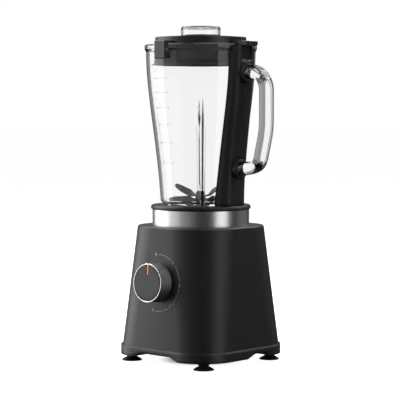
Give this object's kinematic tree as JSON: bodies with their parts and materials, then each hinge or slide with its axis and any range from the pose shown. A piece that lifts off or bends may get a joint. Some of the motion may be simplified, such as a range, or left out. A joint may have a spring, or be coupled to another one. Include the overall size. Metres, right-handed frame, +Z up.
{
  "type": "countertop blender",
  "caption": "Countertop blender with a clear tapered jar, bow handle, control knob and tapered rounded-square base.",
  "frame": {"origin": "bottom centre of the whole object's box, on the surface the feet stand on", "axes": "+Z up along the drive axis, control knob on -Y, jar handle on +X"},
  "size_m": [0.204, 0.1881, 0.4328],
  "materials": {
    "housing": "satin charcoal",
    "black_plastic": "fine texture",
    "gloss_black": "gloss",
    "lid_plastic": "satin",
    "rubber": "matt",
    "steel_trim": "brushed",
    "blade_steel": "ground",
    "bright_trim": "polished",
    "orange": "satin",
    "knob_grey": "satin",
    "glass": "clear",
    "clear_plastic": "clear",
    "silicone": "translucent",
    "motor_steel": "laminated",
    "cast_alloy": "cast",
    "copper": "enamelled wire",
    "bronze": "sintered",
    "carbon": "matt",
    "nylon": "moulded",
    "board": "circuit board"
  },
  "bodies": {
    "base": {"housing": "housing", "bottom_cover": "black_plastic", "steel_ring": "steel_trim", "jar_seat": "black_plastic", "shaft_seal": "rubber", "upper_bracket": "cast_alloy", "lower_bracket": "cast_alloy", "upper_bearing": "motor_steel", "lower_bearing": "motor_steel", "stator_core": "motor_steel", "field_coils": "copper", "motor_mounts": "rubber", "motor_screws": "motor_steel", "brush_holders": "bronze", "carbon_brushes": "carbon", "brush_springs": "motor_steel", "control_board": "board", "rotary_switch": "nylon", "jar_switch": "nylon", "cord_bushing": "rubber", "cover_screws": "motor_steel", "foot_1": "rubber", "foot_2": "rubber", "foot_3": "rubber", "foot_4": "rubber", "pin_spring": "motor_steel"},
    "rotor": {"motor_shaft": "motor_steel", "armature_core": "motor_steel", "armature_winding": "copper", "commutator": "copper", "cooling_fan": "nylon", "drive_coupling": "black_plastic"},
    "knob": {"knob_body": "knob_grey", "knob_ring": "bright_trim", "knob_face": "black_plastic", "knob_pointer": "orange", "knob_spindle": "nylon"},
    "pin": {"switch_pin": "nylon"},
    "jar": {"glass_jar": "glass", "jar_collar": "gloss_black", "jar_gasket": "silicone", "blade_base": "gloss_black", "blade_bushes": "bronze", "blade_base_screws": "motor_steel", "column_cover": "gloss_black", "handle": "clear_plastic", "handle_socket_upper": "gloss_black", "handle_socket_lower": "gloss_black", "rod_spring": "motor_steel"},
    "blades": {"blade_shaft": "blade_steel", "driven_coupling": "black_plastic", "upper_blades": "blade_steel", "lower_blades": "blade_steel", "blade_spacer": "blade_steel", "blade_nut": "blade_steel"},
    "rod": {"interlock_rod": "motor_steel"},
    "lid": {"lid_shell": "lid_plastic", "lid_seal": "rubber"},
    "cap": {"measuring_cap": "clear_plastic"}
  },
  "joints": [
    {"name": "motor_spin", "type": "hinge", "parent": "base", "child": "rotor", "pos_m": [-0.01533, 0.00735, 0.1], "axis": [0, 0, 1], "continuous": true},
    {"name": "knob_turn", "type": "hinge", "parent": "base", "child": "knob", "pos_m": [-0.01533, -0.07208, 0.1063], "axis": [0, -0.9978, 0.0659], "range_deg": [-250, 50]},
    {"name": "jar_lift", "type": "slide", "parent": "base", "child": "jar", "axis": [0, 0, 1], "range_m": [0, 0.14]},
    {"name": "blade_spin", "type": "hinge", "parent": "jar", "child": "blades", "pos_m": [-0.01533, 0.00735, 0.215], "axis": [0, 0, 1], "continuous": true},
    {"name": "lid_lift", "type": "slide", "parent": "jar", "child": "lid", "axis": [0, 0, 1], "range_m": [0, 0.07]},
    {"name": "cap_lift", "type": "slide", "parent": "lid", "child": "cap", "axis": [0, 0, 1], "range_m": [0, 0.05]},
    {"name": "pin_rise", "type": "slide", "parent": "base", "child": "pin", "axis": [0, 0, 1], "range_m": [0, 0.003], "deforming": ["pin_spring"]},
    {"name": "rod_rise", "type": "slide", "parent": "jar", "child": "rod", "axis": [0.1005, 0, 0.9949], "range_m": [0, 0.004], "deforming": ["rod_spring"]}
  ],
  "couplings": [
    {"joint": "blade_spin", "follows": "motor_spin", "ratio": 1},
    {"joint": "pin_rise", "follows": "jar_lift", "ratio": 0.021407},
    {"joint": "rod_rise", "follows": "lid_lift", "ratio": 0.057086}
  ]
}
